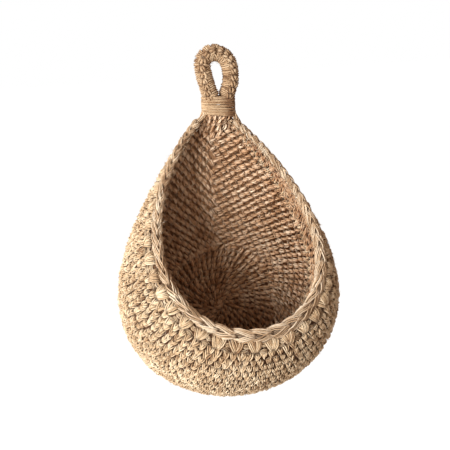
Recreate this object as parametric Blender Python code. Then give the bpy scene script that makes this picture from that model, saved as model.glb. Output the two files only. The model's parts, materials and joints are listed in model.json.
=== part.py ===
"""Teardrop wall basket crocheted in jute: a back panel, a bulging pocket, a rim braid and a hanging loop.

Metres, +Z up. The back lies in the plane y = 0 and the pocket swells towards -Y.
The origin is on the back face, at the ring where the panel's first course was started.
"""

import math

import bmesh
import bpy
import numpy as np
from mathutils import Vector

# Body outline, seen from the front
BODY_WIDTH = 0.1660
BODY_HEIGHT = 0.2085
NECK_WIDTH = 0.0322
OUTLINE_TAPER_SHARE = 1.11
RING_HEIGHT = 0.0570

# Back panel
PANEL_THICKNESS = 0.0050
PANEL_EDGE_BEVEL = 0.0010
PANEL_COURSE = 0.0065
PANEL_GROOVE = 0.0008
PANEL_MARGIN_SHARE = 0.90
PANEL_COLUMNS = 48

# Pocket
MOUTH_WIDTH = 0.1260
MOUTH_NECK_WIDTH = 0.0280
MOUTH_TAPER_SHARE = 0.81
RIM_DROP_HEIGHT = 0.0635
POCKET_DEPTH = 0.0920
NECK_DEPTH = 0.0040
DEPTH_TAPER_SHARE = 0.87
BASE_FORWARD_SHARE = 0.87
BASE_SIDEWAYS_SHARE = 0.17
RIM_FORWARD_SHARE = 0.19
RIM_SIDEWAYS_SHARE = 0.21
RIM_BACK_SHARE = 0.30
FULL_TURN_SHARE = 0.90
WALL_THICKNESS = 0.0050
WALL_COURSE = 0.0072
COURSE_POINTS = 3
WALL_GROOVE = 0.0009
SHORTEST_COURSE = 0.0009
POCKET_COLUMNS = 72
INNER_ROWS = 12
ARC_SAMPLES = 48
PROBE_SHARE = 0.002

# Rim braid, from the front's lowest point to the neck
BRAID_FRONT_WIDTH = 0.0084
BRAID_FRONT_HEIGHT = 0.0094
BRAID_NECK_WIDTH = 0.0046
BRAID_NECK_HEIGHT = 0.0046
BRAID_SEAT_SHARE = 0.78
BRAID_SIDES = 12
BRAID_LINKS = 32
STATIONS_A_LINK = 5
PINCH_SHARE = 0.17
LEG_LEAN_SHARE = 0.45
PARTING_SHARE = 0.12

# Hanging loop
LOOP_SHIFT = 0.0040
LOOP_RISE = 0.0465
LOOP_HALF_WIDTH = 0.0126
LOOP_CORD_DIAMETER = 0.0135
BOUND_CORD_WIDTH = 0.0114
BOUND_CORD_DEPTH = 0.0096
CORE_DIAMETER = 0.0060
LEG_GAP = 0.0004
LOOP_RINGS = 52
COVER_SIDES = 12
CORE_SIDES = 8
WRAP_GROOVE = 0.0008
# Each share pair is a point of the loop's centre-line: across in half widths, up in rises
LOOP_LEFT_SHARES = ((-0.69, 0.49), (-0.87, 0.68), (-0.93, 0.83), (-0.72, 0.945))
LOOP_CROWN_SHARES = (-0.17, 1.0)
LOOP_RIGHT_SHARES = ((0.50, 0.92), (0.80, 0.76), (0.89, 0.56), (0.81, 0.40))
BOUND_RISE_SHARE = 0.285
SWELL_RISE_SHARE = 0.38

# Binding round the loop's neck
BINDING_TWINE = 0.0017
BINDING_PITCH = 0.00215
BINDING_TURNS = 5
TURN_POINTS = 24

# Foot of the loop, round under the hinge line
FOOT_RADIUS = 0.0041
FOOT_SIDES = 16

CLEARANCE = 0.0003
SHARP_ANGLE = math.radians(50)
GAP_SAMPLES = 4

HINGE_HEIGHT = BODY_HEIGHT + CLEARANCE + FOOT_RADIUS
LOOP_SETBACK = BOUND_CORD_DEPTH / 2 + BINDING_TWINE + 2 * CLEARANCE
LEG_OFFSET = (BOUND_CORD_WIDTH + LEG_GAP) / 2


def clear_scene():
    for old in list(bpy.data.objects):
        bpy.data.objects.remove(old)


def jute(name, colour, roughness):
    """One undyed twine finish, as a Principled BSDF."""
    material = bpy.data.materials.new(name)
    material.use_nodes = True
    shader = material.node_tree.nodes["Principled BSDF"]
    shader.inputs["Base Color"].default_value = (*colour, 1)
    shader.inputs["Roughness"].default_value = roughness
    shader.inputs["Metallic"].default_value = 0
    return material


def add_piece(name, mesh, material, parent):
    mesh.shade_smooth()
    mesh.set_sharp_from_angle(angle=SHARP_ANGLE)
    mesh.materials.append(material)
    piece = bpy.data.objects.new(name, mesh)
    bpy.context.scene.collection.objects.link(piece)
    piece.parent = parent
    return piece


def add_empty(name, location, parent=None):
    empty = bpy.data.objects.new(name, None)
    bpy.context.scene.collection.objects.link(empty)
    empty.location = location
    empty.parent = parent
    return empty


def closed_mesh(bm, name):
    """Merges what coincides, turns the faces out and returns the mesh."""
    bmesh.ops.remove_doubles(bm, verts=bm.verts, dist=CLEARANCE / 10)
    bmesh.ops.recalc_face_normals(bm, faces=bm.faces)
    mesh = bpy.data.meshes.new(name)
    bm.to_mesh(mesh)
    bm.free()
    return mesh


def loft(bm, sections):
    """Skins closed sections of equal count in order, and caps the first and the last."""
    rings = [[bm.verts.new(point) for point in section] for section in sections]
    for here, there in zip(rings, rings[1:]):
        for i in range(len(here)):
            j = (i + 1) % len(here)
            bm.faces.new((here[i], here[j], there[j], there[i]))
    bm.faces.new(rings[0])
    bm.faces.new(list(reversed(rings[-1])))
    return rings


def taper_peak(taper):
    """The largest value of sin(a) * cos(a) ** (1 + taper), which scales a teardrop to its width."""
    return math.sqrt(1 / (2 + taper)) * ((1 + taper) / (2 + taper)) ** ((1 + taper) / 2)


class Teardrop:
    """A teardrop outline with its tip cut off at a neck: at(-1) and at(1) are the neck's two ends."""

    def __init__(self, width, height, neck, taper, base):
        self.half = width / 2
        self.height = height
        self.taper = taper
        self.base = base
        self.peak = taper_peak(taper)
        self.end = self.neck_angle(neck / 2)

    def reach(self, angle):
        return self.half * math.sin(angle) * math.cos(angle) ** (1 + self.taper) / self.peak

    def neck_angle(self, wanted):
        """The half angle at which the outline has narrowed to the neck, by bisection."""
        low = math.atan(math.sqrt(1 / (1 + self.taper)))
        high = math.pi / 2
        for _ in range(60):
            middle = (low + high) / 2
            if self.reach(middle) > wanted:
                low = middle
            else:
                high = middle
        return (low + high) / 2

    def at(self, along):
        angle = along * self.end
        rise = (math.sin(angle) / math.sin(self.end)) ** 2
        return self.reach(angle), self.base + self.height * rise

    def outward(self, along):
        """The unit normal in the outline's plane, pointing away from the body."""
        x0, z0 = self.at(max(-1, along - PROBE_SHARE))
        x1, z1 = self.at(min(1, along + PROBE_SHARE))
        return Vector((z1 - z0, 0, x0 - x1)).normalized()


BODY = Teardrop(BODY_WIDTH, BODY_HEIGHT, NECK_WIDTH, OUTLINE_TAPER_SHARE, 0)
MOUTH = Teardrop(
    MOUTH_WIDTH, BODY_HEIGHT - RIM_DROP_HEIGHT, MOUTH_NECK_WIDTH, MOUTH_TAPER_SHARE, RIM_DROP_HEIGHT
)


def smooth_share(share):
    """Eases a share from 0 to 1, and holds it there past either end."""
    share = min(1, max(0, share))
    return share * share * (3 - 2 * share)


def depth_at(along):
    """How far the rim's centre-line stands off the panel's front."""
    fall = ((1 + math.cos(math.pi * along)) / 2) ** DEPTH_TAPER_SHARE
    return NECK_DEPTH + (POCKET_DEPTH - NECK_DEPTH) * fall


def profile_points(along):
    """The four control points of the pocket's outer profile, from the panel's edge to the rim.

    Where the pocket is deep its mouth turns in, and towards the neck it faces forward.
    """
    depth = depth_at(along)
    out = BODY.outward(along)
    x, z = BODY.at(along)
    base = Vector((x, -PANEL_THICKNESS, z))
    x, z = MOUTH.at(along)
    rim = Vector((x, -PANEL_THICKNESS - depth, z))
    forward = Vector((0, -depth, 0))
    turn = smooth_share(depth / POCKET_DEPTH / FULL_TURN_SHARE)
    low = base + out * depth * BASE_SIDEWAYS_SHARE + forward * BASE_FORWARD_SHARE
    high = rim + out * depth * RIM_SIDEWAYS_SHARE * turn
    high += forward * (RIM_FORWARD_SHARE * turn - RIM_BACK_SHARE * (1 - turn))
    return base, low, high, rim


def outer_curve(along, up):
    base, low, high, rim = profile_points(along)
    down = 1 - up
    return base * down**3 + low * 3 * down * down * up + high * 3 * down * up * up + rim * up**3


def wall_frame(along, up):
    """The direction up the wall and the wall's outward normal at a point of the pocket."""
    u0, u1 = max(-1, along - PROBE_SHARE), min(1, along + PROBE_SHARE)
    v0, v1 = max(0, up - PROBE_SHARE), min(1, up + PROBE_SHARE)
    across = outer_curve(u1, up) - outer_curve(u0, up)
    rise = (outer_curve(along, v1) - outer_curve(along, v0)).normalized()
    return rise, across.cross(rise).normalized()


def wall_point(along, up, inset):
    """A point inset from the outer face. The wall's middle meets the rim's centre-line at the top."""
    normal = wall_frame(along, up)[1]
    point = outer_curve(along, up) + normal * (WALL_THICKNESS / 2 * up**2 - inset)
    rise = wall_frame(along, 1)[0]
    away = point - outer_curve(along, 1)
    if away.length < 2 * WALL_THICKNESS:
        point -= rise * max(0, away.dot(rise) + braid_seat(along) + CLEARANCE)
    return kept_in(point)


def edge_point(along, offset):
    """A point of the wall's flat top edge, square under the braid's flat side."""
    rise, normal = wall_frame(along, 1)
    point = outer_curve(along, 1) - rise * (braid_seat(along) + CLEARANCE) + normal * offset
    return kept_in(point)


def kept_in(point):
    """Moves a point of the wall off the panel's front, and down to the neck's flat top."""
    point.y = min(point.y, -PANEL_THICKNESS - CLEARANCE)
    point.z = min(point.z, BODY_HEIGHT)
    return point


def arc_table(along):
    """Shares up the profile and, for each, the length of the profile from there to the rim."""
    ups = np.linspace(0, 1, ARC_SAMPLES)
    points = np.array([outer_curve(along, up) for up in ups])
    steps = np.linalg.norm(np.diff(points, axis=0), axis=1)
    left = np.concatenate([[0], np.cumsum(steps[::-1])])
    return ups[::-1], left


def blend(front, neck, along):
    """A size that runs from its value at the front to its value at the neck."""
    share = (1 - math.cos(math.pi * along)) / 2
    return front + (neck - front) * share


def braid_seat(along):
    return blend(BRAID_FRONT_HEIGHT, BRAID_NECK_HEIGHT, along) / 2 * BRAID_SEAT_SHARE


def pocket_section(along, rows):
    """One closed slice of the wall: down the ribbed outer face, along the foot and up the inner face."""
    ups, left = arc_table(along)
    top = braid_seat(along) + CLEARANCE
    outer = [edge_point(along, 0), edge_point(along, WALL_THICKNESS / 2)]
    for row in range(1, rows):
        distance = top + row * WALL_COURSE / COURSE_POINTS
        if distance > left[-1] - SHORTEST_COURSE:
            outer.append(foot_point(along, 0))
            continue
        up = float(np.interp(distance, left, ups))
        groove = 0 if row % COURSE_POINTS else WALL_GROOVE
        outer.append(wall_point(along, up, groove))
    outer.append(foot_point(along, 0))
    inner = [foot_point(along, WALL_THICKNESS)]
    highest = min(left[-1], top + WALL_THICKNESS)
    for row in range(1, INNER_ROWS):
        distance = left[-1] + (highest - left[-1]) * row / (INNER_ROWS - 1)
        up = float(np.interp(distance, left, ups))
        inner.append(wall_point(along, up, WALL_THICKNESS))
    inner.append(edge_point(along, -WALL_THICKNESS / 2))
    return outer + inner


def foot_point(along, inset):
    """Where the wall's foot stands on the panel's front, inset from the outline."""
    x, z = BODY.at(along)
    out = BODY.outward(along)
    return Vector((x, -PANEL_THICKNESS - CLEARANCE, z)) - out * inset


def pocket():
    """The bulging front: courses run beside the rim and die out one by one at the panel's edge."""
    rows = math.ceil((arc_table(0)[1][-1] - braid_seat(0)) / WALL_COURSE * COURSE_POINTS)
    steps = np.linspace(-1, 1, POCKET_COLUMNS + 1)
    bm = bmesh.new()
    loft(bm, [pocket_section(float(along), rows) for along in steps])
    return closed_mesh(bm, "pocket")


def braid_section(along, link):
    """An oval across the wall's edge, flat where it sits on the wall, at a place counted in links.

    The links' legs part along the middle of either face and lean away from it, as in a chain.
    """
    rise, normal = wall_frame(along, 1)
    centre = outer_curve(along, 1)
    wide = blend(BRAID_FRONT_WIDTH, BRAID_NECK_WIDTH, along) / 2
    tall = blend(BRAID_FRONT_HEIGHT, BRAID_NECK_HEIGHT, along) / 2
    seat = -braid_seat(along)
    section = []
    for side in range(BRAID_SIDES):
        angle = 2 * math.pi * side / BRAID_SIDES
        lean = LEG_LEAN_SHARE * abs(math.cos(angle))
        pinch = PINCH_SHARE * (1 - math.cos(2 * math.pi * (link - lean))) / 2
        full = 1 - pinch - PARTING_SHARE * math.sin(angle) ** 4
        point = centre + rise * max(seat, tall * full * math.cos(angle))
        point += normal * wide * full * math.sin(angle)
        point.z = min(point.z, BODY_HEIGHT)
        section.append(point)
    return section


def rim_braid():
    """The plait along the mouth's edge, a row of links from the neck round the front and back."""
    stations = BRAID_LINKS * STATIONS_A_LINK
    sections = []
    for station in range(stations + 1):
        sections.append(braid_section(2 * station / stations - 1, station / STATIONS_A_LINK))
    bm = bmesh.new()
    loft(bm, sections)
    return closed_mesh(bm, "rim_braid")


def panel_ring(scale, level):
    """The body's outline drawn in towards the starting ring, at one level in front of the back face."""
    ring = []
    for along in np.linspace(-1, 1, PANEL_COLUMNS + 1):
        x, z = BODY.at(float(along))
        ring.append(Vector((x * scale, -level, RING_HEIGHT + (z - RING_HEIGHT) * scale)))
    return ring


def back_panel():
    """The flat teardrop: courses close round the starting ring, with a groove between each two."""
    rounds = round(BODY_WIDTH / 2 * PANEL_MARGIN_SHARE / PANEL_COURSE)
    bevel = 1 - PANEL_EDGE_BEVEL / (BODY_WIDTH / 2)
    sections = [panel_ring(bevel, 0), panel_ring(1, PANEL_EDGE_BEVEL), panel_ring(1, PANEL_THICKNESS)]
    for step in range(2 * rounds - 1):
        level = PANEL_THICKNESS - (PANEL_GROOVE if step % 2 else 0)
        sections.append(panel_ring(PANEL_MARGIN_SHARE * (1 - step / (2 * rounds)), level))
    bm = bmesh.new()
    loft(bm, sections)
    return closed_mesh(bm, "back_panel")


def loop_route():
    """The hand-laid points of the loop's centre-line, from the left foot over the crown to the right."""
    bound = BOUND_RISE_SHARE * LOOP_RISE
    left = [(across * LOOP_HALF_WIDTH, up * LOOP_RISE) for across, up in LOOP_LEFT_SHARES]
    right = [(across * LOOP_HALF_WIDTH, up * LOOP_RISE) for across, up in LOOP_RIGHT_SHARES]
    crown = (LOOP_CROWN_SHARES[0] * LOOP_HALF_WIDTH, LOOP_CROWN_SHARES[1] * LOOP_RISE)
    start = [(-LEG_OFFSET, CLEARANCE), (-LEG_OFFSET, bound)]
    end = [(LEG_OFFSET, bound), (LEG_OFFSET, CLEARANCE)]
    return [Vector((x, 0, z)) for x, z in start + left + [crown] + right + end]


def smooth_line(points, count):
    """Evenly spaced points on a line that is straight at both ends and curved through the rest."""
    dense = [points[0]]
    for p0, p1, p2, p3 in zip(points, points[1:], points[2:], points[3:]):
        for step in range(ARC_SAMPLES):
            t = step / ARC_SAMPLES
            slope_in, slope_out = (p2 - p0) / 2, (p3 - p1) / 2
            dense.append(
                p1 * (2 * t**3 - 3 * t**2 + 1)
                + slope_in * (t**3 - 2 * t**2 + t)
                + p2 * (3 * t**2 - 2 * t**3)
                + slope_out * (t**3 - t**2)
            )
    dense += points[-2:]
    xyz = np.array(dense)
    run = np.concatenate([[0], np.cumsum(np.linalg.norm(np.diff(xyz, axis=0), axis=1))])
    wanted = np.linspace(0, run[-1], count)
    return [Vector([np.interp(w, run, xyz[:, k]) for k in range(3)]) for w in wanted]


def loop_frames():
    """Each ring of the loop's cord: its centre, its direction across the cord and its swell share."""
    line = smooth_line(loop_route(), LOOP_RINGS + 1)
    frames = []
    for i, centre in enumerate(line):
        ahead = line[min(i + 1, LOOP_RINGS)] - line[max(i - 1, 0)]
        across = Vector((ahead.z, 0, -ahead.x)).normalized()
        if i in (0, LOOP_RINGS):
            across = Vector((math.copysign(1, across.x), 0, 0))
        low, high = BOUND_RISE_SHARE * LOOP_RISE, SWELL_RISE_SHARE * LOOP_RISE
        frames.append((centre, across, smooth_share((centre.z - low) / (high - low))))
    return frames


def oval(centre, across, wide, deep, sides):
    """An oval section of the loop's cord, half as wide as wide and half as deep as deep."""
    ring = []
    for side in range(sides):
        angle = 2 * math.pi * side / sides
        sideways = across * wide / 2 * math.cos(angle)
        ring.append(centre + sideways + Vector((0, deep / 2 * math.sin(angle), 0)))
    return ring


def loop_cover():
    """The crocheted sleeve: a tube squeezed flat in the binding, round and ribbed by its stitches above."""
    outside, inside = [], []
    for ring, (centre, across, swell) in enumerate(loop_frames()):
        full = LOOP_CORD_DIAMETER - WRAP_GROOVE * (ring % 2)
        wide = BOUND_CORD_WIDTH + (full - BOUND_CORD_WIDTH) * swell
        deep = BOUND_CORD_DEPTH + (full - BOUND_CORD_DEPTH) * swell
        bore = CORE_DIAMETER + 2 * CLEARANCE
        outside.append(oval(centre, across, wide, deep, COVER_SIDES))
        inside.append(oval(centre, across, bore, bore, COVER_SIDES))
    bm = bmesh.new()
    out_rings = [[bm.verts.new(p) for p in ring] for ring in outside]
    in_rings = [[bm.verts.new(p) for p in ring] for ring in reversed(inside)]
    rings = out_rings + in_rings
    for here, there in zip(rings, rings[1:] + rings[:1]):
        for i in range(COVER_SIDES):
            j = (i + 1) % COVER_SIDES
            bm.faces.new((here[i], here[j], there[j], there[i]))
    return closed_mesh(bm, "loop_cover")


def loop_core():
    """The cord that the loop was worked round."""
    sections = []
    for centre, across, _ in loop_frames():
        sections.append(oval(centre, across, CORE_DIAMETER, CORE_DIAMETER, CORE_SIDES))
    bm = bmesh.new()
    loft(bm, sections)
    return closed_mesh(bm, "loop_core")


def binding_path():
    """A helix round the two legs, flat at front and back and round at the sides, with straight ends."""
    radius = (BOUND_CORD_DEPTH + BINDING_TWINE) / 2 + CLEARANCE
    half = LEG_OFFSET + (BOUND_CORD_WIDTH + BINDING_TWINE) / 2 + CLEARANCE - radius
    girth = 4 * half + 2 * math.pi * radius
    start = CLEARANCE + BINDING_TWINE / 2
    points = []
    for step in range(round(BINDING_TURNS * TURN_POINTS) + 1):
        turn = step / TURN_POINTS
        x, y = stadium_point((turn % 1) * girth, half, radius)
        points.append(Vector((x, y, start + turn * BINDING_PITCH)))
    first = (points[0] - points[1]).normalized() * BINDING_TWINE
    last = (points[-1] - points[-2]).normalized() * BINDING_TWINE
    return [points[0] + first, *points, points[-1] + last]


def stadium_point(run, half, radius):
    """The point after a given run round a stadium, which starts at the middle of its back side."""
    side, bend = 2 * half, math.pi * radius
    run -= half
    if run < 0:
        return run + half, radius
    if run < bend:
        angle = math.pi / 2 - run / radius
        return half + radius * math.cos(angle), radius * math.sin(angle)
    run -= bend
    if run < side:
        return half - run, -radius
    run -= side
    if run < bend:
        angle = -math.pi / 2 - run / radius
        return -half + radius * math.cos(angle), radius * math.sin(angle)
    return run - bend - half, radius


def least_gap(points, thickness, apart):
    """The smallest distance between two parts of a tube that lie more than so many points apart."""
    dense = []
    for a, b in zip(points, points[1:]):
        dense += [a.lerp(b, sample / GAP_SAMPLES) for sample in range(GAP_SAMPLES)]
    xyz = np.array(dense)
    gap = math.inf
    far = GAP_SAMPLES * apart
    for i in range(len(xyz) - far):
        away = np.linalg.norm(xyz[i + far :] - xyz[i], axis=1).min()
        gap = min(gap, away - thickness)
    return gap


def loop_binding():
    """The twine wound tightly round the loop's neck, one unbroken tube."""
    path = binding_path()
    gap = least_gap(path, BINDING_TWINE, TURN_POINTS // 2)
    print(f"loop_binding: least gap between turns {gap * 1000:.3f} mm")
    curve = bpy.data.curves.new("loop_binding", "CURVE")
    curve.dimensions = "3D"
    curve.bevel_depth = BINDING_TWINE / 2
    curve.bevel_resolution = 1
    curve.use_fill_caps = True
    spline = curve.splines.new("POLY")
    spline.points.add(len(path) - 1)
    for target, point in zip(spline.points, path):
        target.co = (*point, 1)
    return curve


def loop_foot():
    """The loop's two ends sewn into one pad: flat on top, half round about the hinge line below."""
    half = LEG_OFFSET + BOUND_CORD_WIDTH / 2
    sections = []
    for x in (-half, half):
        ring = []
        for side in range(FOOT_SIDES + 1):
            angle = math.pi * side / FOOT_SIDES
            ring.append(Vector((x, FOOT_RADIUS * math.cos(angle), -FOOT_RADIUS * math.sin(angle))))
        sections.append(ring)
    bm = bmesh.new()
    loft(bm, sections)
    return closed_mesh(bm, "loop_foot")


def build():
    clear_scene()
    straw = jute("straw_jute", (0.60, 0.42, 0.25), 0.85)
    tan = jute("tan_jute", (0.52, 0.35, 0.21), 0.88)
    braid = jute("pale_jute", (0.66, 0.48, 0.30), 0.82)
    cord = jute("raw_jute_cord", (0.45, 0.31, 0.19), 0.90)
    basket = add_empty("basket_origin", (0, 0, -RING_HEIGHT))
    hinge = add_empty("loop_hinge", (LOOP_SHIFT, -LOOP_SETBACK, HINGE_HEIGHT), basket)
    add_piece("back_panel", back_panel(), tan, basket)
    add_piece("pocket", pocket(), straw, basket)
    add_piece("rim_braid", rim_braid(), braid, basket)
    add_piece("loop_core", loop_core(), cord, hinge)
    add_piece("loop_cover", loop_cover(), tan, hinge)
    add_piece("loop_foot", loop_foot(), cord, hinge)
    binding = bpy.data.objects.new("loop_binding", loop_binding())
    bpy.context.scene.collection.objects.link(binding)
    binding.data.materials.append(braid)
    binding.parent = hinge


build()
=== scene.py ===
"""The looks of a teardrop wall basket crocheted in natural jute, lit softly on white.

Every stitch is a few short lengths of yarn. A stitch is shaped once and copied along courses that
follow the CAD model's surfaces, so the pieces are gathered in mesh code: no modelling operator
lays yarn along a curved course.
"""
import json
import math

import bpy
import numpy as np
from mathutils import Matrix, Vector


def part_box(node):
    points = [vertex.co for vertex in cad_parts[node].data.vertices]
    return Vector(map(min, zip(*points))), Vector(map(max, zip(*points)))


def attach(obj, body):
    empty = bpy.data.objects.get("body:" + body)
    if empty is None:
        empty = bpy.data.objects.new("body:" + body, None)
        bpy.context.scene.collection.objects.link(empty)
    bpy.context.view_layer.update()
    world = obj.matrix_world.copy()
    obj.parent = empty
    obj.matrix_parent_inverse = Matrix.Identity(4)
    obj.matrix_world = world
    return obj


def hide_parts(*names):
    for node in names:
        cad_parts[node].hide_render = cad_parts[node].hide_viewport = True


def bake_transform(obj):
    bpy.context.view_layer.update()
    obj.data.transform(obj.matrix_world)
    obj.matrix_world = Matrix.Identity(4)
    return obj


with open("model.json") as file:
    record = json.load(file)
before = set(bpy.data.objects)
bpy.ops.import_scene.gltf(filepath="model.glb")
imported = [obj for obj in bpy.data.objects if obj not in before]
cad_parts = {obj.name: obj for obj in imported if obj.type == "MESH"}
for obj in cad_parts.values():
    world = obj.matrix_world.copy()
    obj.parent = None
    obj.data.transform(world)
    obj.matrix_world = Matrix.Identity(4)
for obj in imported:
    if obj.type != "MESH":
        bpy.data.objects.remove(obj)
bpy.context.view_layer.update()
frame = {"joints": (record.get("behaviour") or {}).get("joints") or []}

random = np.random.default_rng(7)
MM = 0.001
TINY = 1e-12
TOWARDS_FRONT = (0, -1, 0)

# The body's shape, as the CAD model has it
PANEL_LOW, PANEL_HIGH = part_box("back_panel")
BODY_BOTTOM = PANEL_LOW.z
BODY_TOP = PANEL_HIGH.z
BODY_WIDTH = 166.0 * MM
NECK_WIDTH = 32.2 * MM
OUTLINE_TAPER = 1.11
PANEL_THICKNESS = PANEL_HIGH.y - PANEL_LOW.y
MOUTH_WIDTH = 126.0 * MM
MOUTH_NECK_WIDTH = 28.0 * MM
MOUTH_TAPER = 0.81
RIM_DROP_HEIGHT = 63.5 * MM
POCKET_DEPTH = 92.0 * MM
NECK_DEPTH = 4.0 * MM
DEPTH_TAPER = 0.87
BASE_FORWARD_SHARE, BASE_SIDEWAYS_SHARE = 0.87, 0.17
RIM_FORWARD_SHARE, RIM_SIDEWAYS_SHARE = 0.19, 0.21
RIM_BACK_SHARE, FULL_TURN_SHARE = 0.30, 0.90
WALL = 5.0 * MM

# The loop, as the CAD model has it but for its right side, which comes nearer the photograph's here
HINGE = Vector(frame["joints"][0]["pos_m"])
LOOP_RISE = 46.5 * MM
LOOP_HALF_WIDTH = 12.6 * MM
BOUND_RISE = 0.285 * LOOP_RISE
LEG_OFFSET = 5.9 * MM
LEG_CLEARANCE = 0.3 * MM
LOOP_LEFT_SHARES = ((-0.69, 0.49), (-0.87, 0.68), (-0.93, 0.83), (-0.72, 0.945))
LOOP_CROWN_SHARES = (-0.17, 1.0)
LOOP_RIGHT_SHARES = ((0.50, 0.92), (0.80, 0.76), (0.84, 0.56), (0.70, 0.40))
LEFT_PARTING, RIGHT_PARTING = -5.8 * MM, 6.3 * MM
LOOP_STATIONS, SPAN_STEPS = 600, 48
CORD_RADIUS = 6.75 * MM
BOUND_RADIUS, SWELL_HEIGHT = 4.6 * MM, 3.0 * MM

# Courses of the pocket
COURSE_HEIGHT = 5.0 * MM
STITCH_WIDTH = 6.0 * MM
POST_WIDTH, POST_HEIGHT = 14.0 * MM, 9.0 * MM
POST_TUCK = 0.8 * MM
POST_MARGIN, OUTER_MARGIN, INNER_MARGIN = 1.0 * MM, 0.5 * MM, 1.5 * MM
INNER_WIDTH, INNER_HEIGHT = 5.6 * MM, 4.6 * MM
INNER_START = 3.2 * MM
FEWEST_STATIONS, END_SHARE = 8, 0.3
DRIFT_SHARE = 0.18
LINING_OUTER, LINING_INNER = 1.8 * MM, 3.0 * MM
LINING_SEAT, LINING_FOOT = 1.0 * MM, 2.2 * MM
LINING_REACH_SHARE = 0.95

# Rounds of the panel: each pair is how far out its rounds lie and how many stitches they hold
CENTRE_ROUNDS_REACH = 50.0 * MM
ROUND_STITCHES = ((9 * MM, 10), (19 * MM, 21), (34 * MM, 36), (60 * MM, 54))
FACE_LEVEL, BACK_LEVEL = -PANEL_THICKNESS, -0.8 * MM
EDGE_INSET, ROUND_GAP, TOP_MARGIN = 1.6 * MM, 1.8 * MM, 1.0 * MM
PART_END_SHARE = 0.1
NARROWEST_SHARE, WIDEST_SHARE = 0.8, 1.15
APEX_DROPS = (2.5 * MM, 7.0 * MM, 11.5 * MM)
APEX_ACROSS = (-6.0 * MM, -1.0 * MM, 4.5 * MM)
PANEL_LINING_INSET = 1.8 * MM
PANEL_LINING_LEVELS = (-2.7 * MM, -3.0 * MM)

# Course that joins the pocket to the panel
JOIN_INSET = 1.7 * MM
JOIN_ABOVE, JOIN_ABOVE_SHARE = 2.6 * MM, 0.6
JOIN_STITCH_SHARE, JOIN_HEIGHT = 0.6, 5.2 * MM

# The chain on the rim, at the front and at the neck
LINK, NECK_LINK = 14.0 * MM, 6.0 * MM
CHAIN_HALF_RISE, CHAIN_HALF_DEPTH = 4.7 * MM, 4.2 * MM
CHAIN_NECK_SHARE = 0.62
CHAIN_FACES_FRONT, NECK_FACES_FRONT = 0.9, 1.9
CHAIN_START_SHARE, CHAIN_STOP_SHARE = 0.3, 1.4
RIM_CHAIN_REACH, RIM_CHAIN_LENGTH = 1.05, 1.55
CHAIN_PLY, RIM_WRAP_PLY = 0.60 * MM, 0.50 * MM
RIM_WRAP_START, RIM_WRAP_LEAN, RIM_WRAP_SUNK = 2.0 * MM, 1.5 * MM, 0.7 * MM
RIM_WRAP_GAP = 0.70
RIM_CORE_DEEP = 2.2 * MM
RIM_CORE_STATIONS = slice(40, -40, 6)
ROUND_SIDES = 12

# Links of any chain: angles from its ridge, heights over the cord in millimetres and thickness
LINK_RINGS = 9
LINK_SPREAD = (0.22, 0.45, 0.90, 0.80)
LINK_HEIGHTS = (-1.1, 0.30, 0.15, -2.2)
LINK_TAPER_SHARES = (0.7, 1.0, 1.0, 0.7)
LINK_AHEAD_SHARE, LINK_SLIP_SHARE, LEG_SWELL_SHARE = 0.85, 0.04, 0.08
# Painted shade: a link's plies darken as they dip below the cord, fully at this depth; the filler plies under
# each link get a fixed share of it
LINK_SHADE_DEPTH = 1.6 * MM
FILLER_RISE_SHARE, FILLER_DEEP, FILLER_PLIES, FILLER_SHADE = 0.3, 1.3 * MM, 2, 0.65
WRAP_RINGS = 15
WRAP_TAPER_SHARES = ((0, 0.1, 0.9, 1), (0.6, 1, 1, 0.6))
WRAP_SLIP = 0.1 * MM

# Sleeve of the loop, with its chain wound from the front to the side
SLEEVE_PITCH, SLEEVE_START = 4.7 * MM, 2.0 * MM
SLEEVE_RIDGE = (0.93, 1.45)
SLEEVE_PLY, SLEEVE_LEAN, SLEEVE_SUNK, SLEEVE_SPLAY = 0.62 * MM, 0.4 * MM, 0.7 * MM, 0.05 * MM
SLEEVE_GAP = 0.25
SLEEVE_CHAIN_REACH, SLEEVE_CHAIN_LENGTH = 0.26, 1.02
SLEEVE_CHAIN_PLY, SLEEVE_CHAIN_LOW, SLEEVE_CHAIN_SPLAY = 0.85 * MM, 0.6 * MM, 0.03 * MM
CORD_DEEP = 1.25 * MM

# Whipping round the loop's neck
WHIPPING_PLY, TURN_RISE_SHARE = 0.50 * MM, 1.9
WHIPPING_DROP, WHIPPING_RISE = 1.9 * MM, 1.8 * MM
TURN_POINTS, WHIPPING_SIDES = 48, 6
SQUARENESS = 0.85
SLOW_WAVER, QUICK_WAVER = 0.26 * MM, 0.14 * MM

# Gathered neck, from its foot in the body to the whipping
NECK_ROWS = 5
NECK_STITCH_WIDTH, NECK_STITCH_HEIGHT = 5.0 * MM, 4.8 * MM
NECK_FOOT_HALF_WIDTH, NECK_FOOT_HALF_DEPTH = 14.0 * MM, 2.6 * MM
NECK_FOOT_SETBACK, NECK_FOOT_DROP = 3.2 * MM, 6.0 * MM
NECK_INSET, NECK_TUCK = 0.8 * MM, 2.5 * MM
NARROWING_SHARE, NECK_START_SHARE = 0.3, 0.3
NECK_FLATNESS = 1.6

# Ends of the rim, from the mouth's edge to the corners of the whipping
RIM_END_DROP, RIM_END_BACK = 5.0 * MM, 0.8 * MM
RIM_END_INSET, RIM_END_FORWARD, RIM_END_TUCK = 2.6 * MM, 2.0 * MM, 2.0 * MM
RIM_END_BUNDLES, RIM_END_RADIUS, RIM_END_TWIST = 6, 1.4 * MM, 2.2
RIM_END_PLY_SHARE = 0.9

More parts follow.
